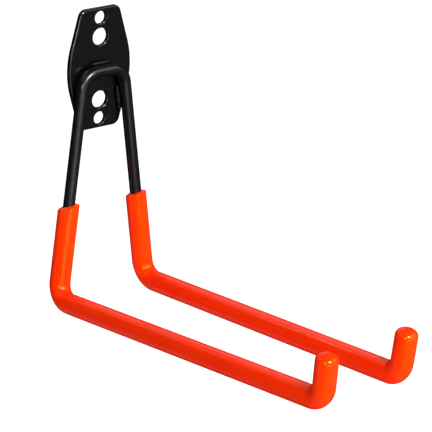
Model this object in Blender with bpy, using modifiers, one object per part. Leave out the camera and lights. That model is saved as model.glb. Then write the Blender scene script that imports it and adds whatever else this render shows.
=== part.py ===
"""Double-arm wall hook for hanging a bicycle by its frame.

A stamped steel wall plate carries one bent round rod. The rod crosses the plate as an upside-down
U, runs down the wall as two splayed legs, turns out into two long arms, and ends in two upturned
tips. A soft plastic sleeve covers each arm, and three weld beads hold the rod to the plate.

Frame: metres, +Z up, the wall is the plane Y = 0, the arms point along -Y, and the origin is the
centre of the plate's back face.
"""

import math

import bmesh
import bpy
from mathutils import Matrix, Vector

MM = 0.001
GAP = 0.3 * MM                      # running gap between pieces that touch on the real hook

# Rod: one bent round bar
ROD_RADIUS = 4.0 * MM
BEND_RADIUS = 11.75 * MM            # to the rod's centreline, the same at all six bends
BAR_Z = -0.5 * MM                   # height of the crossbar's axis on the plate
BAR_HALF_WIDTH = 15.7 * MM          # from the middle to the sharp corner of bar and leg
FOOT_HALF_WIDTH = 35.6 * MM         # to the sharp corner of leg and arm
FOOT_Z = -156.0 * MM
ARM_END_HALF_WIDTH = 30.0 * MM      # to the sharp corner of arm and tip
ARM_REACH = 275.6 * MM              # from the wall to that corner
ARM_RISE = 32.7 * MM                # from the leg's corner up to that corner
TIP_HEIGHT = 31.9 * MM              # from the arm's corner to the top of the sleeved tip
TIP_LEAN = math.radians(5.7)        # the tips lean away from the wall
TIP_SPLAY = math.radians(1.6)       # and slightly outwards

# Plate: a stamped strip, widest in the middle, with its front edge rounded by the die
PLATE_THICKNESS = 3.0 * MM
PLATE_HALF_HEIGHT = 41.4 * MM
PLATE_END_HALF_WIDTH = 15.1 * MM
PLATE_MID_HALF_WIDTH = 26.9 * MM    # to the sharp corner that the side's arc rounds off
PLATE_CORNER_RADIUS = 5.6 * MM
PLATE_SIDE_RADIUS = 59.4 * MM
PLATE_EDGE_ROUND = 0.9 * MM
HOLES = {                           # distance from the plate's middle, radius
    "small": (34.6 * MM, 4.35 * MM),
    "large": (21.6 * MM, 5.9 * MM),
}

# Sleeves: blind soft tubes pushed over the arms, cut slanting where they end on the legs
SLEEVE_RADIUS = 7.1 * MM
SLEEVE_TOP_Z = -90.5 * MM           # where the slanted cut crosses the leg's axis
SLEEVE_CUT_SLOPE = math.radians(10) # the front of the cut is higher than its back
SLEEVE_SPARE = 12.0 * MM            # length that the slanted cut trims away
DOME_LENGTH = 5.0 * MM
SLEEVE_END_WALL = 3.0 * MM

# Weld beads
BEAD_RADIUS = 1.5 * MM
TOP_BEAD_HALF_LENGTH = 7.5 * MM
LEG_BEAD_START = 13.0 * MM          # from the crossbar down the leg
LEG_BEAD_END = 31.0 * MM

# Facets
BEND_STEPS = 8
ROD_BEVEL = 6                       # bevel_resolution: 2 n + 4 sides
SLEEVE_BEVEL = 8
BEAD_BEVEL = 2
END_STEPS = 5
HOLE_SIDES = 32
MERGE = 0.001 * MM

ROD_Y = -(PLATE_THICKNESS + GAP + ROD_RADIUS)
SIDES = {"left": -1, "right": 1}


def clear_scene():
    for obj in list(bpy.data.objects):
        bpy.data.objects.remove(obj, do_unlink=True)


def make_collection(name):
    collection = bpy.data.collections.new(name)
    bpy.context.scene.collection.children.link(collection)
    return collection


def make_material(name, color, roughness, metallic=0.0):
    material = bpy.data.materials.new(name)
    material.use_nodes = True
    shader = material.node_tree.nodes["Principled BSDF"]
    shader.inputs["Base Color"].default_value = (*color, 1.0)
    shader.inputs["Roughness"].default_value = roughness
    shader.inputs["Metallic"].default_value = metallic
    return material


def rounded_path(corners, radii, closed=False):
    """Points of a line through corners, with an arc of the given radius at each rounded corner."""
    points = []
    count = len(corners)
    for index, (corner, radius) in enumerate(zip(corners, radii)):
        is_end = not closed and index in (0, count - 1)
        if is_end:
            points.append(corner.copy())
            continue
        to_last = (corners[index - 1] - corner).normalized()
        to_next = (corners[(index + 1) % count] - corner).normalized()
        half_angle = to_last.angle(to_next) / 2
        bisector = (to_last + to_next).normalized()
        centre = corner + bisector * (radius / math.sin(half_angle))
        turn = math.pi - 2 * half_angle
        across = (to_last - to_next).normalized()
        for step in range(BEND_STEPS + 1):
            angle = turn * (0.5 - step / BEND_STEPS)
            points.append(centre + radius * (across * math.sin(angle) - bisector * math.cos(angle)))
    return points


def domed_end(path, length):
    """A path whose last stretch narrows to a dome, and the radius factor at each point."""
    end = path[-1]
    direction = (end - path[-2]).normalized()
    points = path[:-1]
    factors = [1.0] * len(points)
    for step in range(END_STEPS + 1):
        angle = 0.94 * (math.pi / 2) * step / END_STEPS
        points.append(end - direction * length * (1 - math.sin(angle)))
        factors.append(math.cos(angle))
    return points, factors


def curve_to_mesh(curve_object, collection):
    """Replace a curve object with a mesh object of the same name, its caps welded."""
    name = curve_object.name
    bpy.context.view_layer.update()
    evaluated = curve_object.evaluated_get(bpy.context.evaluated_depsgraph_get())
    mesh = bpy.data.meshes.new_from_object(evaluated)
    matrix = curve_object.matrix_world.copy()
    bpy.data.objects.remove(curve_object, do_unlink=True)
    work = bmesh.new()
    work.from_mesh(mesh)
    bmesh.ops.remove_doubles(work, verts=work.verts, dist=MERGE)
    bmesh.ops.recalc_face_normals(work, faces=work.faces)
    work.to_mesh(mesh)
    work.free()
    mesh.name = name
    mesh_object = bpy.data.objects.new(name, mesh)
    mesh_object.matrix_world = matrix
    collection.objects.link(mesh_object)
    return mesh_object


def make_curve(name, points, factors=None, dimensions="3D"):
    curve = bpy.data.curves.new(name, "CURVE")
    curve.dimensions = dimensions
    spline = curve.splines.new("POLY")
    spline.points.add(len(points) - 1)
    for index, point in enumerate(points):
        spline.points[index].co = (*point, 1.0)
        spline.points[index].radius = factors[index] if factors else 1.0
    return curve


def make_tube(name, points, radius, bevel, collection, factors=None):
    """A round bar with filled ends along the points."""
    curve = make_curve(name, points, factors)
    curve.bevel_depth = radius
    curve.bevel_resolution = bevel
    curve.use_fill_caps = True
    curve_object = bpy.data.objects.new(name, curve)
    collection.objects.link(curve_object)
    return curve_to_mesh(curve_object, collection)


def mark_cutter(cutter):
    cutter.hide_render = True
    cutter.display_type = "WIRE"


def cut(target, cutter):
    mark_cutter(cutter)
    boolean = target.modifiers.new(cutter.name, "BOOLEAN")
    boolean.operation = "DIFFERENCE"
    boolean.solver = "EXACT"
    boolean.object = cutter


def finish_surface(obj, material, smooth_angle=40):
    obj.data.materials.clear()
    obj.data.materials.append(material)
    obj.data.shade_smooth()
    obj.data.set_sharp_from_angle(angle=math.radians(smooth_angle))


def corner(side, half_width, y, z):
    return Vector((side * half_width, y, z))


def tip_direction(side):
    direction = Vector((side * math.tan(TIP_SPLAY), -math.tan(TIP_LEAN), 1.0))
    return direction.normalized()


def arm_corners(side):
    """Sharp corners of one half of the rod, from the crossbar to the top of the sleeved tip."""
    arm_end = corner(side, ARM_END_HALF_WIDTH, -ARM_REACH, FOOT_Z + ARM_RISE)
    return [
        corner(side, BAR_HALF_WIDTH, ROD_Y, BAR_Z),
        corner(side, FOOT_HALF_WIDTH, ROD_Y, FOOT_Z),
        arm_end,
        arm_end + tip_direction(side) * TIP_HEIGHT,
    ]


def leg_direction(side):
    top, foot = arm_corners(side)[:2]
    return (foot - top).normalized()


def point_on_leg(side, height):
    """The point of the leg's axis at a given height."""
    direction = leg_direction(side)
    top = arm_corners(side)[0]
    return top + direction * ((height - top.z) / direction.z)


def plate_outline():
    """The plate's outline: its right half from top to bottom, then the mirror image."""
    half = [
        (PLATE_END_HALF_WIDTH, PLATE_HALF_HEIGHT, PLATE_CORNER_RADIUS),
        (PLATE_MID_HALF_WIDTH, 0, PLATE_SIDE_RADIUS),
        (PLATE_END_HALF_WIDTH, -PLATE_HALF_HEIGHT, PLATE_CORNER_RADIUS),
    ]
    whole = half + [(-x, y, radius) for x, y, radius in reversed(half)]
    corners = [Vector((x, y, 0)) for x, y, _ in whole]
    return rounded_path(corners, [radius for _, _, radius in whole], closed=True)


def round_front_edge(plate):
    """Bevel the outline's edge on the front face, which is the mesh's own +Z side."""
    weights = plate.data.attributes.new("bevel_weight_edge", "FLOAT", "EDGE")
    for edge in plate.data.edges:
        on_front = all(plate.data.vertices[index].co.z > 0 for index in edge.vertices)
        weights.data[edge.index].value = 1.0 if on_front else 0.0
    bevel = plate.modifiers.new("rounded front edge", "BEVEL")
    bevel.limit_method = "WEIGHT"
    bevel.width = PLATE_EDGE_ROUND
    bevel.segments = 3


def make_hole_cutter(name, radius, height, cutters):
    mesh = bpy.data.meshes.new(name)
    work = bmesh.new()
    bmesh.ops.create_cone(
        work,
        cap_ends=True,
        segments=HOLE_SIDES,
        radius1=radius,
        radius2=radius,
        depth=3 * PLATE_THICKNESS,
        matrix=Matrix.Rotation(math.pi / 2, 4, "X"),
    )
    work.to_mesh(mesh)
    work.free()
    cutter = bpy.data.objects.new(name, mesh)
    cutter.location = (0, -PLATE_THICKNESS / 2, height)
    cutters.objects.link(cutter)
    return cutter


def build_plate(parts, cutters, material):
    curve = make_curve("wall_plate", plate_outline(), dimensions="2D")
    curve.splines[0].use_cyclic_u = True
    curve.fill_mode = "BOTH"
    curve.extrude = PLATE_THICKNESS / 2
    flat = bpy.data.objects.new("wall_plate", curve)
    flat.location = (0, -PLATE_THICKNESS / 2, 0)
    flat.rotation_euler = (math.pi / 2, 0, 0)
    parts.objects.link(flat)
    plate = curve_to_mesh(flat, parts)
    round_front_edge(plate)
    finish_surface(plate, material)
    for place, upward in (("upper", 1), ("lower", -1)):
        for size, (distance, radius) in HOLES.items():
            name = f"{place}_{size}_hole"
            cut(plate, make_hole_cutter(name, radius, upward * distance, cutters))
    return plate


def build_rod(parts, material):
    halves = {}
    for name, side in SIDES.items():
        corners = arm_corners(side)
        corners[-1] -= tip_direction(side) * (SLEEVE_END_WALL + GAP)
        halves[name] = corners
    corners = list(reversed(halves["left"])) + halves["right"]
    points = rounded_path(corners, [BEND_RADIUS] * len(corners))
    rod = make_tube("hook_rod", points, ROD_RADIUS, ROD_BEVEL, parts)
    finish_surface(rod, material)
    return rod


def build_sleeve(name, parts, cutters, material):
    side = SIDES[name]
    direction = leg_direction(side)
    top = point_on_leg(side, SLEEVE_TOP_Z)
    corners = arm_corners(side)[1:]
    radii = [BEND_RADIUS] * (len(corners) + 1)

    outer = rounded_path([top - direction * SLEEVE_SPARE] + corners, radii)
    points, factors = domed_end(outer, DOME_LENGTH)
    sleeve = make_tube(f"{name}_sleeve", points, SLEEVE_RADIUS, SLEEVE_BEVEL, parts, factors)

    corners[-1] = corners[-1] - tip_direction(side) * SLEEVE_END_WALL
    inner = rounded_path([top - direction * 2 * SLEEVE_SPARE] + corners, radii)
    bore = make_tube(f"{name}_bore", inner, ROD_RADIUS + GAP, ROD_BEVEL, cutters)
    cut(sleeve, bore)

    trim_size = 3 * SLEEVE_SPARE
    trim_mesh = bpy.data.meshes.new(f"{name}_trim")
    work = bmesh.new()
    bmesh.ops.create_cube(work, size=trim_size, matrix=Matrix.Translation((0, 0, trim_size / 2)))
    work.to_mesh(trim_mesh)
    work.free()
    trim = bpy.data.objects.new(trim_mesh.name, trim_mesh)
    trim.location = top
    trim.rotation_euler = (-SLEEVE_CUT_SLOPE, 0, 0)
    cutters.objects.link(trim)
    cut(sleeve, trim)
    finish_surface(sleeve, material)
    return sleeve


def build_bead(name, start, end, parts, material):
    """A weld bead with rounded ends."""
    middle = (start + end) / 2
    near, near_factors = domed_end([middle, start], 2 * BEAD_RADIUS)
    far, far_factors = domed_end([middle, end], 2 * BEAD_RADIUS)
    points = list(reversed(near)) + far[1:]
    factors = list(reversed(near_factors)) + far_factors[1:]
    bead = make_tube(name, points, BEAD_RADIUS, BEAD_BEVEL, parts, factors)
    finish_surface(bead, material, smooth_angle=60)
    return bead


def build_welds(parts, material):
    """Beads in the crevice between rod and plate: above the crossbar and inside each leg."""
    bead_y = -(PLATE_THICKNESS + GAP + BEAD_RADIUS)
    reach = ROD_RADIUS + GAP + BEAD_RADIUS
    offset = math.sqrt(reach ** 2 - (ROD_Y - bead_y) ** 2)
    ends = [Vector((side * TOP_BEAD_HALF_LENGTH, bead_y, BAR_Z + offset)) for side in (-1, 1)]
    build_bead("top_weld", *ends, parts, material)
    for name, side in SIDES.items():
        direction = leg_direction(side)
        inward = Vector((side * direction.z, 0, -side * direction.x))
        base = arm_corners(side)[0] + inward * offset
        base.y = bead_y
        ends = [base + direction * distance for distance in (LEG_BEAD_START, LEG_BEAD_END)]
        build_bead(f"{name}_weld", *ends, parts, material)


def main():
    clear_scene()
    parts = make_collection("double_arm_wall_hook")
    cutters = make_collection("cutters")
    plate_paint = make_material("plate_powder_coat", (0.013, 0.014, 0.015), 0.42)
    rod_paint = make_material("rod_powder_coat", (0.013, 0.014, 0.015), 0.36)
    weld_paint = make_material("weld_powder_coat", (0.013, 0.014, 0.015), 0.45)
    left_plastic = make_material("left_sleeve_plastic", (0.90, 0.075, 0.002), 0.3)
    right_plastic = make_material("right_sleeve_plastic", (0.90, 0.075, 0.002), 0.3)
    build_plate(parts, cutters, plate_paint)
    build_rod(parts, rod_paint)
    build_sleeve("left", parts, cutters, left_plastic)
    build_sleeve("right", parts, cutters, right_plastic)
    build_welds(parts, weld_paint)


main()
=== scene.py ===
"""Looks of the double-arm wall hook: coated steel plate, rod and welds, and glossy soft sleeves.

Metres, +Z up. The wall is the plane Y = 0 and the arms point along -Y, as in the CAD frame.
"""

import math

import bmesh
import bpy
import numpy as np
from mathutils import Matrix, Vector


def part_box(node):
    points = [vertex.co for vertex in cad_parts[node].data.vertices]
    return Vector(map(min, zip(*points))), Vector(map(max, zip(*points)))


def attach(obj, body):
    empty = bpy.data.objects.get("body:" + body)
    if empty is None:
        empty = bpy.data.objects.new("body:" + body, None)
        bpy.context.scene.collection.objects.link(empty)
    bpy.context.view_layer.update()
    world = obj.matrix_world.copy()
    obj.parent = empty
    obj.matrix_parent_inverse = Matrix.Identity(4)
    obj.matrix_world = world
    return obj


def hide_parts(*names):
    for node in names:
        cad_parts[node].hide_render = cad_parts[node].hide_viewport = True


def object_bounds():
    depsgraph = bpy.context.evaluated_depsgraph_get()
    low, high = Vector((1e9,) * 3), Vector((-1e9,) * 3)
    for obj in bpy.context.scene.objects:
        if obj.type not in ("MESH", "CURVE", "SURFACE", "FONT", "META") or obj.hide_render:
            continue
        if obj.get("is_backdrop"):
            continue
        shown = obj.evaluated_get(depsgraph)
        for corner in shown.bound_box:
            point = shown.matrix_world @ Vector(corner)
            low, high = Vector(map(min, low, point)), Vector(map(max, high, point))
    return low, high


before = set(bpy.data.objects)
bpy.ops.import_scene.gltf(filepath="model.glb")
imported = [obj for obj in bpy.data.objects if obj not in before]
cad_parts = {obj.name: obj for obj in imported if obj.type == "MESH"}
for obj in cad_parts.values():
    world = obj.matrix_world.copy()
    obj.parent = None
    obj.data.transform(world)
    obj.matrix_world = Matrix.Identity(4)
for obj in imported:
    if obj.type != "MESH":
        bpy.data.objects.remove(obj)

CAD_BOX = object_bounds()
MM = 0.001

# Rod, as designed in CAD, with the sharp corners that its bends round off
ROD_RADIUS = 4.0 * MM
BEND_RADIUS = 11.75 * MM
BAR_Z = -0.5 * MM
BAR_HALF_WIDTH = 15.7 * MM
FOOT_HALF_WIDTH = 35.6 * MM
FOOT_Z = -156.0 * MM
ARM_END_HALF_WIDTH = 30.0 * MM
ARM_REACH = 275.6 * MM
ARM_RISE = 32.7 * MM
TIP_HEIGHT = 31.9 * MM
TIP_LEAN = math.radians(5.7)
TIP_SPLAY = math.radians(1.6)

# Ends and bends of the rod
ROD_CHAMFER = 0.6 * MM
ROD_END_GAP = 0.3 * MM          # between the rod's ends and the end walls of the sleeves
BEND_FLATTENING = 0.12 * MM
BEND_FLAT_REACH = 7 * MM

# Plate, as designed in CAD
PLATE_END_HALF_WIDTH = 15.1 * MM
PLATE_MID_HALF_WIDTH = 26.9 * MM
PLATE_CORNER_RADIUS = 5.6 * MM
PLATE_SIDE_RADIUS = 59.4 * MM
HOLES = ((34.6 * MM, 4.35 * MM), (21.6 * MM, 5.9 * MM))    # distance from the middle, radius
PLATE_LOW, PLATE_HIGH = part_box("wall_plate")
PLATE_THICKNESS = PLATE_HIGH.y - PLATE_LOW.y
ROD_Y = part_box("hook_rod")[1].y - ROD_RADIUS

# What pressing and punching leave on the plate
PLATE_FRONT_ROUND = 1.4 * MM
PLATE_BACK_ROUND = 0.25 * MM
HOLE_FLARE = 0.75 * MM          # the front edge of each hole is drawn in
HOLE_BACK_FLARE = 0.2 * MM
HOLE_TAPER = 0.05 * MM
CUTTER_SPARE = 2 * MM

# Sleeves, with a closer bore than in CAD and a slant of its own for each open end
SLEEVE_RADIUS = 7.1 * MM
SLEEVE_BORE = 4.06 * MM
SLEEVE_TOP_Z = {"left": -89.8 * MM, "right": -91.4 * MM}
SLEEVE_CUT_LEAN = math.tan(math.radians(16))
SLEEVE_CUT_TILT = {"left": math.tan(math.radians(7)), "right": math.tan(math.radians(11))}
CUT_FADE = 16 * MM              # length over which the slanted end straightens out
SLEEVE_END_WALL = 3.0 * MM
BORE_START = 1.2 * MM
BORE_END_CHAMFER = 0.5 * MM
DOME_LENGTH = 5.0 * MM
DOME_POWER = 2.4
LIP_STEP = 0.25 * MM            # from the bore out to the top of the lip
LIP_DROP = 1.2 * MM             # from there down to the soft outer edge
MOUTH_ROUND = ((0.4 * MM, 0.0), (0.12 * MM, 0.05 * MM), (0.0, LIP_STEP))    # distance, step out
LIP_SHARES = (0.15, 0.4, 0.7)
LIP_EDGE = 0.7 * MM
LIP_TURN = 140                  # degrees at which the outer edge takes over from the lip
FOOT_SWELL = (0.25 * MM, 0.30 * MM, 8 * MM)     # bulge inside the bend, dent outside, reach
TIP_SWELL = (1.15 * MM, 0.25 * MM, 5 * MM)

# Weld beads
BEAD_SIZE = 1.45 * MM
BEAD_TAPER_POWER = 0.35
BEAD_SQUAT = 0.22               # share by which the crown is lower than a round one
BEAD_WOBBLE = 0.10
WOBBLES = 8
RIPPLE_PITCH = 1.15 * MM
RIPPLE_TROUGH = 0.90
RIPPLE_DEPTH = 0.12
RIPPLE_LAG = 0.45 * MM
BEAD_INSET = 0.2 * MM           # from the middle of the CAD bead towards the wall
BEAD_NUDGE = 0.3 * MM           # from the middle of the CAD bead towards the rod

# How finely the curves are followed
PATH_SPACING = 1.0 * MM
PATH_ARC_STEPS = 24
OUTLINE_ARC_STEPS = 20
BEND_REACH = 16 * MM
RING_STEP_AT_BEND = 0.7 * MM
RING_STEP_ELSEWHERE = 3.0 * MM
SKIN_RING_GAP = 0.5 * MM
ROD_SIDES = 48
SLEEVE_SIDES = 64
HOLE_SIDES = 64
BEAD_SIDES = 28
DOME_STEPS = 18
LIP_STEPS = 7
HOLE_FLARE_STEPS = 7
BEAD_STEPS = 72
FRONT_ROUND_SEGMENTS = 9
BACK_ROUND_SEGMENTS = 2
SAME_PLANE = 0.01 * MM
ROD_SHARP_ANGLE = math.radians(35)
PLATE_SHARP_ANGLE = math.radians(42)

# Colours
SPECK_COLOR = (0.005, 0.0055, 0.006)
WORN_COLOR = (0.012, 0.013, 0.014)
COAT_TINT = (0.88, 0.95, 1.0, 1.0)
DEEP_ORANGE = (0.90, 0.021, 0.0003)
PALE_ORANGE = (0.95, 0.026, 0.0004)
STREAK_ORANGE = (0.92, 0.018, 0.0002)
SLEEVE_TINT = (1.0, 0.85, 0.02, 1.0)

# Studio
FLOOR_RADIUS = 14.0
FLOOR_Z = -1.3
FLOOR_GLOW = 0.65

SIDES = {"left": -1, "right": 1}
SEED = 11


# ---------------------------------------------------------------- paths

def rounded_path(corners, radii, arc_steps, closed=False):
    """Points of a line through corners, with an arc of the given radius at each rounded corner."""
    points = []
    count = len(corners)
    for index, (corner, radius) in enumerate(zip(corners, radii)):
        if not closed and index in (0, count - 1):
            points.append(corner.copy())
            continue
        to_last = (corners[index - 1] - corner).normalized()
        to_next = (corners[(index + 1) % count] - corner).normalized()
        half_angle = to_last.angle(to_next) / 2
        bisector = (to_last + to_next).normalized()
        across = (to_last - to_next).normalized()
        centre = corner + bisector * (radius / math.sin(half_angle))
        turn = math.pi - 2 * half_angle
        for step in range(arc_steps + 1):
            angle = turn * (0.5 - step / arc_steps)
            points.append(centre + radius * (across * math.sin(angle) - bisector * math.cos(angle)))
    return points


class Route:
    """A smooth path that can be read at any distance along it, with a frame that doesn't twist."""

    def __init__(self, corners, radius):
        rough = rounded_path(corners, [radius] * len(corners), PATH_ARC_STEPS)
        points = [rough[0]]
        for start, end in zip(rough, rough[1:]):
            pieces = max(1, round((end - start).length / PATH_SPACING))
            points += [start.lerp(end, piece / pieces) for piece in range(1, pieces + 1)]
        self.points = points
        self.distance = np.concatenate(([0.0], np.cumsum([
            (b - a).length for a, b in zip(points, points[1:])
        ])))
        self.length = float(self.distance[-1])
        self.tangents = self._tangents()
        self.normals = self._normals()
        self.bends = self._bends(corners)

    def _tangents(self):
        last = len(self.points) - 1
        return [
            (self.points[min(i + 1, last)] - self.points[max(i - 1, 0)]).normalized()
            for i in range(last + 1)
        ]

    def _normals(self):
        """Carry one side direction along the path with the least turning."""
        seed = Vector((1.0, 0.0, 0.0)) if abs(self.tangents[0].x) < 0.9 else Vector((0.0, 0.0, 1.0))
        normal = (seed - seed.project(self.tangents[0])).normalized()
        normals = []
        for tangent in self.tangents:
            normal = (normal - normal.project(tangent)).normalized()
            normals.append(normal.copy())
        return normals

    def _bends(self, corners):
        """For each bend: the distance of its middle along the path, and the way to its inner side."""
        bends = []
        for last, corner, following in zip(corners, corners[1:], corners[2:]):
            inward = ((last - corner).normalized() + (following - corner).normalized()).normalized()
            nearest = min(range(len(self.points)), key=lambda i: (self.points[i] - corner).length)
            bends.append((float(self.distance[nearest]), inward))
        return bends

    def at(self, distance):
        """Place, direction and side direction at a distance from the path's start."""
        index = int(np.searchsorted(self.distance, distance, side="right")) - 1
        index = min(index, len(self.points) - 2)
        span = self.distance[index + 1] - self.distance[index]
        share = (distance - self.distance[index]) / span
        tangent = self.tangents[index].lerp(self.tangents[index + 1], share).normalized()
        place = self.points[index].lerp(self.points[index + 1], share)
        normal = self.normals[index].lerp(self.normals[index + 1], share)
        normal = (normal - normal.project(tangent)).normalized()
        return place, tangent, normal


def arm_corners(side):
    """Sharp corners of one half of the rod, from the crossbar to the top of the sleeved tip."""
    up = Vector((side * math.tan(TIP_SPLAY), -math.tan(TIP_LEAN), 1.0)).normalized()
    arm_end = Vector((side * ARM_END_HALF_WIDTH, -ARM_REACH, FOOT_Z + ARM_RISE))
    return [
        Vector((side * BAR_HALF_WIDTH, ROD_Y, BAR_Z)),
        Vector((side * FOOT_HALF_WIDTH, ROD_Y, FOOT_Z)),
        arm_end,
        arm_end + up * TIP_HEIGHT,
    ]


def point_on_leg(side, height):
    top, foot = arm_corners(side)[:2]
    return top.lerp(foot, (height - top.z) / (foot.z - top.z))


def smooth_step(value):
    value = min(max(value, 0.0), 1.0)
    return value * value * (3 - 2 * value)


# ---------------------------------------------------------------- meshes

def add_object(name, data):
    obj = bpy.data.objects.new(name, data)
    bpy.context.scene.collection.objects.link(obj)
    return obj


def mesh_with_outward_faces(name, verts, faces):
    mesh = bpy.data.meshes.new(name)
    mesh.from_pydata([tuple(v) for v in verts], [], faces)
    work = bmesh.new()
    work.from_mesh(mesh)
    bmesh.ops.recalc_face_normals(work, faces=work.faces)
    work.to_mesh(mesh)
    work.free()
    return mesh


def skin_rings(rings, sides, place_vertex):
    """Vertices and faces over a row of rings. A ring of radius 0 is one pole.

    rings holds (distance, radius) pairs, and place_vertex gives the point for them and an angle.
    marks are each vertex's distance and angle.
    """
    verts, faces, marks, starts = [], [], [], []
    for distance, radius in rings:
        starts.append(len(verts))
        for k in range(1 if radius == 0 else sides):
            angle = 2 * math.pi * k / sides
            verts.append(place_vertex(distance, radius, angle))
            marks.append((distance, angle))
    for number in range(len(rings) - 1):
        a, b = starts[number], starts[number + 1]
        for k in range(sides):
            n = (k + 1) % sides
            if rings[number][1] == 0:
                faces.append((a, b + k, b + n))
            elif rings[number + 1][1] == 0:
                faces.append((a + k, b, a + n))
            else:
                faces.append((a + k, b + k, b + n, a + n))
    return verts, faces, marks


def swept_piece(name, rings, sides, place_vertex, material):
    """A closed smooth piece that stores how far along and around it each vertex is."""
    verts, faces, marks = skin_rings(rings, sides, place_vertex)
    mesh = mesh_with_outward_faces(name, verts, faces)
    for label, values in zip(("along", "around"), zip(*marks)):
        attribute = mesh.attributes.new(label, "FLOAT", "POINT")
        attribute.data.foreach_set("value", np.asarray(values, np.float32))
    mesh.materials.append(material)
    mesh.shade_smooth()
    return add_object(name, mesh)


def arc_rings(centre_distance, centre_radius, radius, start, end, steps):
    """Ring pairs along an arc in the (distance, radius) plane, angles in degrees."""
    pairs = []
    for k in range(steps + 1):
        angle = math.radians(start + (end - start) * k / steps)
        pairs.append((
            centre_distance + radius * math.cos(angle),
            centre_radius + radius * math.sin(angle),
        ))
    return pairs


def ring_spacing(route, distance):
    """Rings stand closer together in the bends."""
    near = min(abs(distance - middle) for middle, _ in route.bends)
    return RING_STEP_AT_BEND if near < BEND_REACH else RING_STEP_ELSEWHERE


def stations(route, start, end):
    distances = [start]
    while distances[-1] < end:
        distances.append(distances[-1] + ring_spacing(route, distances[-1]))
    distances[-1] = end
    return distances


# ---------------------------------------------------------------- rod

def build_rod(material):
    halves = []
    for side in SIDES.values():
        corners = arm_corners(side)
        up = (corners[-1] - corners[-2]).normalized()
        corners[-1] = corners[-1] - up * (SLEEVE_END_WALL + ROD_END_GAP)
        halves.append(corners)
    route = Route(list(reversed(halves[0])) + halves[1], BEND_RADIUS)
    length = route.length

    def place_vertex(distance, radius, angle):
        place, tangent, normal = route.at(distance)
        outward = normal * math.cos(angle) + tangent.cross(normal) * math.sin(angle)
        # The bar flattens a little across each bend, as cold-bent bar does
        for middle, inward in route.bends:
            near = math.exp(-((distance - middle) / BEND_FLAT_REACH) ** 2)
            facing = abs(outward.dot(inward)) ** 3
            radius -= BEND_FLATTENING * near * facing * (radius / ROD_RADIUS)
        return place + outward * radius

    middle = stations(route, 2 * ROD_CHAMFER, length - 2 * ROD_CHAMFER)
    rings = [(0.0, 0.0), (0.0, ROD_RADIUS - ROD_CHAMFER), (ROD_CHAMFER, ROD_RADIUS)]
    rings += [(distance, ROD_RADIUS) for distance in middle]
    rings += [(length - ROD_CHAMFER, ROD_RADIUS), (length, ROD_RADIUS - ROD_CHAMFER), (length, 0.0)]
    rod = swept_piece("coated_rod", rings, ROD_SIDES, place_vertex, material)
    rod.data.set_sharp_from_angle(angle=ROD_SHARP_ANGLE)
    return rod


# ---------------------------------------------------------------- sleeves

def sleeve_rings(route):
    """The sleeve's wall as ring pairs: up the bore, over the lip, down the outside, to the dome."""
    bore_end = route.length - SLEEVE_END_WALL
    lip_start = SLEEVE_BORE + LIP_STEP
    rings = [
        (bore_end, 0.0),
        (bore_end, SLEEVE_BORE - BORE_END_CHAMFER),
        (bore_end - BORE_END_CHAMFER, SLEEVE_BORE),
    ]
    bore = stations(route, BORE_START, bore_end - 2 * BORE_END_CHAMFER)
    rings += [(distance, SLEEVE_BORE) for distance in reversed(bore)]
    rings += [(distance, SLEEVE_BORE + step) for distance, step in MOUTH_ROUND]
    # The lip falls from the rod to the outer wall and turns over in a soft edge
    turn = math.radians(LIP_TURN)
    edge_start = SLEEVE_RADIUS - LIP_EDGE * (1 - math.sin(turn))
    for share in LIP_SHARES:
        rings.append((LIP_DROP * share, lip_start + (edge_start - lip_start) * share))
    edge_middle = LIP_DROP - LIP_EDGE * math.cos(turn)
    rings += arc_rings(edge_middle, SLEEVE_RADIUS - LIP_EDGE, LIP_EDGE, LIP_TURN, 90, LIP_STEPS)
    dome_start = route.length - DOME_LENGTH
    skin = stations(route, edge_middle + SKIN_RING_GAP, dome_start)
    rings += [(distance, SLEEVE_RADIUS) for distance in skin]
    for k in range(1, DOME_STEPS):
        angle = math.pi / 2 * k / DOME_STEPS
        height = DOME_LENGTH * math.sin(angle) ** (2 / DOME_POWER)
        rings.append((dome_start + height, SLEEVE_RADIUS * math.cos(angle) ** (2 / DOME_POWER)))
    rings.append((route.length, 0.0))
    return rings


def build_sleeve(name, material):
    side = SIDES[name]
    corners = [point_on_leg(side, SLEEVE_TOP_Z[name])] + arm_corners(side)[1:]
    route = Route(corners, BEND_RADIUS)

    def place_vertex(distance, radius, angle):
        place, tangent, normal = route.at(distance)
        outward = normal * math.cos(angle) + tangent.cross(normal) * math.sin(angle)
        on_skin = max(0.0, (radius - SLEEVE_BORE) / (SLEEVE_RADIUS - SLEEVE_BORE))
        for (middle, inward), (bulge, dent, reach) in zip(route.bends, (FOOT_SWELL, TIP_SWELL)):
            near = math.exp(-((distance - middle) / reach) ** 2)
            facing = outward.dot((inward - inward.project(tangent)).normalized())
            radius += on_skin * near * (bulge * max(0, facing) ** 4 - dent * max(0, -facing) ** 3)
        point = place + outward * radius
        # The open end lies in one slanting plane, higher at the front and towards +X
        rise = SLEEVE_CUT_LEAN * -outward.y + SLEEVE_CUT_TILT[name] * outward.x
        past_cut = (outward.z - rise) * radius / tangent.z
        slant = 1 - smooth_step(distance / CUT_FADE)
        return point - tangent * (slant * past_cut)

    rings = sleeve_rings(route)
    return swept_piece(f"{name}_arm_sleeve", rings, SLEEVE_SIDES, place_vertex, material)


# ---------------------------------------------------------------- plate

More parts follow.
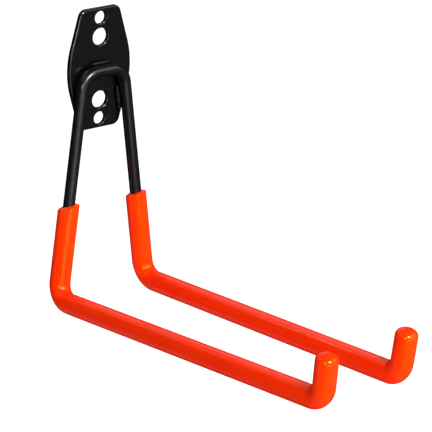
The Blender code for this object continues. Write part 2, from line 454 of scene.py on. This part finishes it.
def hole_cutter(name, radius, height):
    """A punched hole as a turned cutter: the front edge is drawn in, the back edge is crisp."""
    front, back = -PLATE_THICKNESS / 2, PLATE_THICKNESS / 2
    rings = [
        (front - CUTTER_SPARE, 0.0),
        (front - CUTTER_SPARE, radius + HOLE_FLARE),
        (front, radius + HOLE_FLARE),
    ]
    for k in range(1, HOLE_FLARE_STEPS + 1):
        angle = math.radians(90 * k / HOLE_FLARE_STEPS)
        rings.append((
            front + HOLE_FLARE * (1 - math.cos(angle)),
            radius + HOLE_FLARE * (1 - math.sin(angle)),
        ))
    rings += [
        (back - HOLE_BACK_FLARE, radius + HOLE_TAPER),
        (back, radius + HOLE_BACK_FLARE),
        (back + CUTTER_SPARE, radius + HOLE_BACK_FLARE),
        (back + CUTTER_SPARE, 0.0),
    ]

    def place_vertex(depth, ring_radius, angle):
        return ring_radius * math.cos(angle), depth, ring_radius * math.sin(angle)

    verts, faces, _ = skin_rings(rings, HOLE_SIDES, place_vertex)
    cutter = add_object(name, mesh_with_outward_faces(name, verts, faces))
    cutter.location = (0, -PLATE_THICKNESS / 2, height)
    return cutter


def apply_modifiers(obj):
    bpy.context.view_layer.update()
    evaluated = obj.evaluated_get(bpy.context.evaluated_depsgraph_get())
    mesh = bpy.data.meshes.new_from_object(evaluated)
    mesh.name = obj.data.name
    obj.modifiers.clear()
    obj.data = mesh


def plate_outline():
    half = [
        (PLATE_END_HALF_WIDTH, PLATE_HIGH.z, PLATE_CORNER_RADIUS),
        (PLATE_MID_HALF_WIDTH, 0, PLATE_SIDE_RADIUS),
        (PLATE_END_HALF_WIDTH, PLATE_LOW.z, PLATE_CORNER_RADIUS),
    ]
    whole = half + [(-x, z, radius) for x, z, radius in reversed(half)]
    corners = [Vector((x, 0, z)) for x, z, _ in whole]
    radii = [radius for _, _, radius in whole]
    return rounded_path(corners, radii, OUTLINE_ARC_STEPS, closed=True)


def plate_blank(material):
    """The plate before it is punched: its outline made thick, with both rims rounded."""
    mesh = bpy.data.meshes.new("stamped_plate")
    work = bmesh.new()
    back = work.faces.new([work.verts.new((p.x, PLATE_HIGH.y, p.z)) for p in plate_outline()])
    made = bmesh.ops.extrude_face_region(work, geom=[back])
    for item in made["geom"]:
        if isinstance(item, bmesh.types.BMVert):
            item.co.y = PLATE_LOW.y
    bmesh.ops.recalc_face_normals(work, faces=work.faces)

    def rim(y):
        return [
            edge for edge in work.edges
            if all(abs(v.co.y - y) < SAME_PLANE for v in edge.verts)
        ]

    for y, size, segments in (
        (PLATE_LOW.y, PLATE_FRONT_ROUND, FRONT_ROUND_SEGMENTS),
        (PLATE_HIGH.y, PLATE_BACK_ROUND, BACK_ROUND_SEGMENTS),
    ):
        bmesh.ops.bevel(
            work, geom=rim(y), offset=size, segments=segments, profile=0.5, affect="EDGES",
        )
    work.to_mesh(mesh)
    work.free()
    mesh.materials.append(material)
    return add_object("stamped_plate", mesh)


def punch_holes(plate):
    cutters = []
    for height, radius in HOLES:
        for upward in (1, -1):
            cutter = hole_cutter(f"hole_cutter_{len(cutters)}", radius, upward * height)
            cutters.append(cutter)
            boolean = plate.modifiers.new(cutter.name, "BOOLEAN")
            boolean.operation = "DIFFERENCE"
            boolean.solver = "EXACT"
            boolean.object = cutter
    apply_modifiers(plate)
    for cutter in cutters:
        bpy.data.objects.remove(cutter, do_unlink=True)


def build_plate(material):
    plate = plate_blank(material)
    punch_holes(plate)
    plate.data.shade_smooth()
    plate.data.set_sharp_from_angle(angle=PLATE_SHARP_ANGLE)
    weighted = plate.modifiers.new("flat faces stay flat", "WEIGHTED_NORMAL")
    weighted.keep_sharp = True
    weighted.weight = 100
    apply_modifiers(plate)
    return plate


# ---------------------------------------------------------------- welds

def build_bead(name, start, end, away, material, rng):
    """A fillet bead with stacked ripples. away points from the crevice to the open air."""
    tangent = (end - start).normalized()
    away = (away - away.project(tangent)).normalized()
    binormal = tangent.cross(away)
    length = (end - start).length
    wobble = [rng.uniform(-1, 1) for _ in range(WOBBLES)]
    rings = [(0.0, 0.0)]
    for k in range(1, BEAD_STEPS):
        share = k / BEAD_STEPS
        distance = length * share
        taper = math.sin(math.pi * share) ** BEAD_TAPER_POWER
        ripple = RIPPLE_TROUGH + RIPPLE_DEPTH * abs(math.sin(math.pi * distance / RIPPLE_PITCH))
        swell = 1 + BEAD_WOBBLE * wobble[int(share * (WOBBLES - 1))]
        rings.append((distance, BEAD_SIZE * taper * ripple * swell))
    rings.append((length, 0.0))

    def place_vertex(distance, radius, angle):
        outward = away * math.cos(angle) + binormal * math.sin(angle)
        # Crescent ripples: the crown of the bead lags behind its toes
        crown = max(0.0, math.cos(angle))
        squat = 1.0 - BEAD_SQUAT * crown
        return start + tangent * (distance - RIPPLE_LAG * crown) + outward * radius * squat

    return swept_piece(name, rings, BEAD_SIDES, place_vertex, material)


def build_welds(material):
    rng = np.random.default_rng(SEED)
    beads = []
    boxes = {node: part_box(node) for node in ("top_weld", "left_weld", "right_weld")}
    low, high = boxes["top_weld"]
    middle = (low + high) / 2
    middle += Vector((0, BEAD_INSET, -BEAD_NUDGE))
    half = Vector(((high.x - low.x) / 2, 0, 0))
    beads.append(("top_weld", build_bead(
        "top_weld_bead", middle - half, middle + half, Vector((0, -1, 0.8)), material, rng,
    )))
    for name, side in SIDES.items():
        node = f"{name}_weld"
        low, high = boxes[node]
        top, foot = arm_corners(side)[:2]
        down_leg = (foot - top).normalized()
        middle = (low + high) / 2
        middle += Vector((side * BEAD_NUDGE, BEAD_INSET, 0))
        half = down_leg * ((high.z - low.z) / 2 / abs(down_leg.z))
        beads.append((node, build_bead(
            f"{node}_bead", middle - half, middle + half, Vector((-side, -0.8, 0)), material, rng,
        )))
    return beads


# ---------------------------------------------------------------- materials

class Nodes:
    """A short way to write a material's node tree."""

    def __init__(self, name):
        self.material = bpy.data.materials.new(name)
        self.material.use_nodes = True
        self.tree = self.material.node_tree
        self.shader = self.tree.nodes["Principled BSDF"]

    def add(self, kind, **settings):
        node = self.tree.nodes.new(kind)
        for key, value in settings.items():
            setattr(node, key, value)
        return node

    def link(self, output, socket):
        self.tree.links.new(output, socket)

    def noise(self, vector, scale, detail=2.0, roughness=0.5):
        node = self.add("ShaderNodeTexNoise")
        node.inputs["Scale"].default_value = scale
        node.inputs["Detail"].default_value = detail
        node.inputs["Roughness"].default_value = roughness
        self.link(vector, node.inputs["Vector"])
        return node.outputs["Fac"]

    def remap(self, value, low, high, out_low, out_high):
        node = self.add("ShaderNodeMapRange")
        node.inputs["From Min"].default_value = low
        node.inputs["From Max"].default_value = high
        node.inputs["To Min"].default_value = out_low
        node.inputs["To Max"].default_value = out_high
        self.link(value, node.inputs["Value"])
        return node.outputs["Result"]

    def math(self, operation, a, b=0.0):
        node = self.add("ShaderNodeMath", operation=operation)
        for socket, value in zip(node.inputs, (a, b)):
            if isinstance(value, (int, float)):
                socket.default_value = value
            else:
                self.link(value, socket)
        return node.outputs["Value"]

    def mix_color(self, factor, a, b):
        """Mix colour a, or the output a of another node, with colour b."""
        node = self.add("ShaderNodeMix", data_type="RGBA")
        if isinstance(a, tuple):
            node.inputs["A"].default_value = (*a, 1.0)
        else:
            self.link(a, node.inputs["A"])
        node.inputs["B"].default_value = (*b, 1.0)
        self.link(factor, node.inputs["Factor"])
        return node.outputs["Result"]

    def bump(self, height, distance, onto=None):
        node = self.add("ShaderNodeBump")
        node.inputs["Strength"].default_value = 1.0
        node.inputs["Distance"].default_value = distance
        self.link(height, node.inputs["Height"])
        if onto is not None:
            self.link(onto, node.inputs["Normal"])
        return node.outputs["Normal"]


def object_coords(nodes):
    return nodes.add("ShaderNodeTexCoord").outputs["Object"]


def coat_material(name, roughness, gloss, grain, pigment):
    """Black powder coat: orange-peel skin, fine grain, fine specks, paler edges.

    gloss is the specular level, grain scales the bumps, and pigment is the base grey.
    """
    nodes = Nodes(name)
    place = object_coords(nodes)
    cloud = nodes.noise(place, 90.0, 4.0)
    dark = tuple(pigment * part for part in (0.8, 0.92, 1.1))
    pale = tuple(pigment * part for part in (1.3, 1.5, 1.8))
    color = nodes.mix_color(nodes.remap(cloud, 0.3, 0.7, 0.0, 1.0), dark, pale)
    specks = nodes.noise(place, 2600.0, 1.0)
    color = nodes.mix_color(nodes.remap(specks, 0.68, 0.80, 0.0, 0.6), color, SPECK_COLOR)
    edges = nodes.add("ShaderNodeNewGeometry").outputs["Pointiness"]
    # Surfaces that face towards or away from the wall stay unworn
    split = nodes.add("ShaderNodeSeparateXYZ")
    nodes.link(nodes.add("ShaderNodeTexCoord").outputs["Normal"], split.inputs["Vector"])
    rounded = nodes.remap(nodes.math("ABSOLUTE", split.outputs["Y"]), 0.80, 0.97, 1.0, 0.0)
    worn = nodes.math("MULTIPLY", nodes.remap(edges, 0.53, 0.60, 0.0, 0.5), cloud)
    worn = nodes.math("MULTIPLY", worn, rounded)
    color = nodes.mix_color(worn, color, WORN_COLOR)
    nodes.link(color, nodes.shader.inputs["Base Color"])
    rough = nodes.remap(nodes.noise(place, 260.0, 3.0), 0.25, 0.75, roughness - 0.05, roughness + 0.06)
    nodes.link(rough, nodes.shader.inputs["Roughness"])
    peel = nodes.bump(nodes.noise(place, 700.0, 2.0), 0.00006 * grain)
    fine = nodes.bump(nodes.noise(place, 2400.0, 2.0), 0.000016 * grain, onto=peel)
    nodes.link(fine, nodes.shader.inputs["Normal"])
    nodes.shader.inputs["Specular IOR Level"].default_value = gloss
    nodes.shader.inputs["Specular Tint"].default_value = COAT_TINT
    return nodes.material


def sleeve_material():
    """Glossy soft plastic: faint drawn streaks, a fine skin, scuffs and slow colour change."""
    nodes = Nodes("soft_orange_plastic")
    place = object_coords(nodes)
    along = nodes.add("ShaderNodeAttribute", attribute_name="along").outputs["Fac"]
    around = nodes.add("ShaderNodeAttribute", attribute_name="around").outputs["Fac"]
    lanes = nodes.add("ShaderNodeCombineXYZ")
    # The pattern closes round the sleeve, and is far longer along it than across
    for operation, socket in (("COSINE", "X"), ("SINE", "Y")):
        nodes.link(nodes.math("MULTIPLY", nodes.math(operation, around), 9.0), lanes.inputs[socket])
    nodes.link(nodes.math("MULTIPLY", along, 14.0), lanes.inputs["Z"])
    streaks = nodes.noise(lanes.outputs["Vector"], 1.0, 3.0)
    cloud = nodes.noise(place, 45.0, 3.0)
    color = nodes.mix_color(nodes.remap(cloud, 0.3, 0.7, 0.0, 1.0), DEEP_ORANGE, PALE_ORANGE)
    color = nodes.mix_color(nodes.remap(streaks, 0.35, 0.75, 0.0, 0.35), color, STREAK_ORANGE)
    nodes.link(color, nodes.shader.inputs["Base Color"])
    rough = nodes.remap(nodes.noise(place, 120.0, 4.0), 0.3, 0.7, 0.18, 0.25)
    scuffs = nodes.remap(nodes.noise(lanes.outputs["Vector"], 3.1, 5.0), 0.60, 0.75, 0.0, 0.10)
    nodes.link(nodes.math("ADD", rough, scuffs), nodes.shader.inputs["Roughness"])
    drawn = nodes.bump(streaks, 0.00002)
    skin = nodes.bump(nodes.noise(place, 900.0, 3.0), 0.000008, onto=drawn)
    nodes.link(skin, nodes.shader.inputs["Normal"])
    nodes.shader.inputs["Specular Tint"].default_value = SLEEVE_TINT
    nodes.shader.inputs["Specular IOR Level"].default_value = 0.32
    nodes.shader.inputs["Coat Weight"].default_value = 0.18
    nodes.shader.inputs["Coat Roughness"].default_value = 0.07
    return nodes.material


# ---------------------------------------------------------------- studio

def make_floor():
    mesh = bpy.data.meshes.new("studio_floor")
    work = bmesh.new()
    bmesh.ops.create_circle(work, cap_ends=True, segments=96, radius=FLOOR_RADIUS)
    work.to_mesh(mesh)
    work.free()
    floor = add_object("studio_floor", mesh)
    floor.location = (0, 0, FLOOR_Z)
    nodes = Nodes("studio_floor")
    shade = nodes.noise(object_coords(nodes), 1.5, 2.0)
    color = nodes.mix_color(shade, (0.90, 0.90, 0.90), (0.93, 0.93, 0.93))
    nodes.link(color, nodes.shader.inputs["Base Color"])
    nodes.shader.inputs["Roughness"].default_value = 0.9
    nodes.shader.inputs["Specular IOR Level"].default_value = 0.1
    # Only the camera sees this glow, so it doesn't light the hook
    nodes.shader.inputs["Emission Color"].default_value = (1.0, 1.0, 1.0, 1.0)
    seen = nodes.add("ShaderNodeLightPath").outputs["Is Camera Ray"]
    nodes.link(nodes.math("MULTIPLY", seen, FLOOR_GLOW), nodes.shader.inputs["Emission Strength"])
    mesh.materials.append(nodes.material)
    floor.visible_glossy = False
    floor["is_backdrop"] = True


def direction(azimuth, elevation):
    """The way from the object towards a light or camera. Azimuth 0 is straight in front."""
    a, e = math.radians(azimuth), math.radians(elevation)
    return Vector((math.sin(a) * math.cos(e), -math.cos(a) * math.cos(e), math.sin(e)))


def softbox(name, azimuth, elevation, distance, width, height, power, lit=True, mirrored=True):
    """An area light aimed at the hook's middle. lit is its soft light, mirrored its reflection."""
    light = bpy.data.lights.new(name, "AREA")
    light.shape = "RECTANGLE"
    light.size = width
    light.size_y = height
    light.energy = power
    obj = add_object(name, light)
    away = direction(azimuth, elevation)
    obj.location = (CAD_BOX[0] + CAD_BOX[1]) / 2 + away * distance
    obj.rotation_mode = "QUATERNION"
    obj.rotation_quaternion = away.to_track_quat("Z", "Y")
    obj.visible_camera = False
    obj.visible_diffuse = lit
    obj.visible_glossy = mirrored


def make_lights():
    # Name, azimuth, elevation, distance, width, height, power
    softbox("key", -14, 36, 1.6, 0.26, 0.22, 18.0)
    softbox("glint", -5, 37, 1.6, 0.16, 0.12, 38.0, lit=False)
    softbox("edge_strip", -50, 10, 1.6, 0.22, 0.45, 10.0, lit=False)
    softbox("low_front", -14, -14, 1.6, 1.20, 0.90, 6.7)
    softbox("low_right", 50, -18, 1.7, 1.30, 1.10, 0.7)
    softbox("right", 46, 35, 1.7, 1.20, 1.00, 8.5)
    softbox("right_fill", 18, 10, 1.7, 1.00, 1.00, 62.0, mirrored=False)
    softbox("left_high", -125, 50, 1.7, 0.50, 0.50, 2.0)
    softbox("low_left", -112, -25, 1.7, 0.90, 0.90, 0.6)
    softbox("low_back", -160, -40, 1.7, 0.80, 0.60, 0.25)
    softbox("back", 163, 28, 1.7, 1.70, 0.95, 3.0)


def make_world():
    """White all round for the camera, and a softer even light for the object."""
    world = bpy.data.worlds.new("studio")
    world.use_nodes = True
    tree = world.node_tree
    background = tree.nodes["Background"]
    background.inputs["Color"].default_value = (1.0, 1.0, 1.0, 1.0)
    seen = tree.nodes.new("ShaderNodeLightPath").outputs["Is Camera Ray"]
    strength = tree.nodes.new("ShaderNodeMapRange")
    strength.inputs["To Min"].default_value = 0.46
    strength.inputs["To Max"].default_value = 1.10
    tree.links.new(seen, strength.inputs["Value"])
    tree.links.new(strength.outputs["Result"], background.inputs["Strength"])
    bpy.context.scene.world = world
    world.cycles_visibility.glossy = False


def make_camera():
    """The picture's viewing angle, roll and lens."""
    azimuth, elevation, roll = -38.12, 21.5, 1.86
    target = Vector((24.7, -100.0, -77.8)) * MM
    distance = 1420.3 * MM
    data = bpy.data.cameras.new("camera")
    data.sensor_width = 36.0
    data.lens = 183.3
    camera = add_object("camera", data)
    away = direction(azimuth, elevation)
    right = (-away).cross(Vector((0, 0, 1))).normalized()
    up = right.cross(-away)
    turn = math.radians(roll)
    rolled_right = right * math.cos(turn) + up * math.sin(turn)
    rolled_up = up * math.cos(turn) - right * math.sin(turn)
    camera.matrix_world = Matrix.Translation(target + away * distance) @ Matrix(
        (rolled_right, rolled_up, away)
    ).transposed().to_4x4()
    data.clip_end = 60.0
    bpy.context.scene.camera = camera


def stand_for(piece, node):
    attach(piece, "root")
    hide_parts(node)


make_camera()
plate_coat = coat_material("plate_powder_coat", roughness=0.21, gloss=0.50, grain=0.20, pigment=0.0008)
rod_coat = coat_material("rod_powder_coat", roughness=0.30, gloss=0.50, grain=0.12, pigment=0.0018)
weld_coat = coat_material("weld_powder_coat", roughness=0.50, gloss=0.22, grain=0.50, pigment=0.0006)
orange = sleeve_material()

stand_for(build_plate(plate_coat), "wall_plate")
stand_for(build_rod(rod_coat), "hook_rod")
for sleeve_name in SIDES:
    stand_for(build_sleeve(sleeve_name, orange), f"{sleeve_name}_sleeve")
for node_name, bead in build_welds(weld_coat):
    stand_for(bead, node_name)

make_floor()
make_lights()
make_world()
bpy.context.scene.view_settings.view_transform = "Standard"

boxes = {"cad": CAD_BOX, "visual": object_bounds()}
{key: [list(corner) for corner in box] for key, box in boxes.items()}
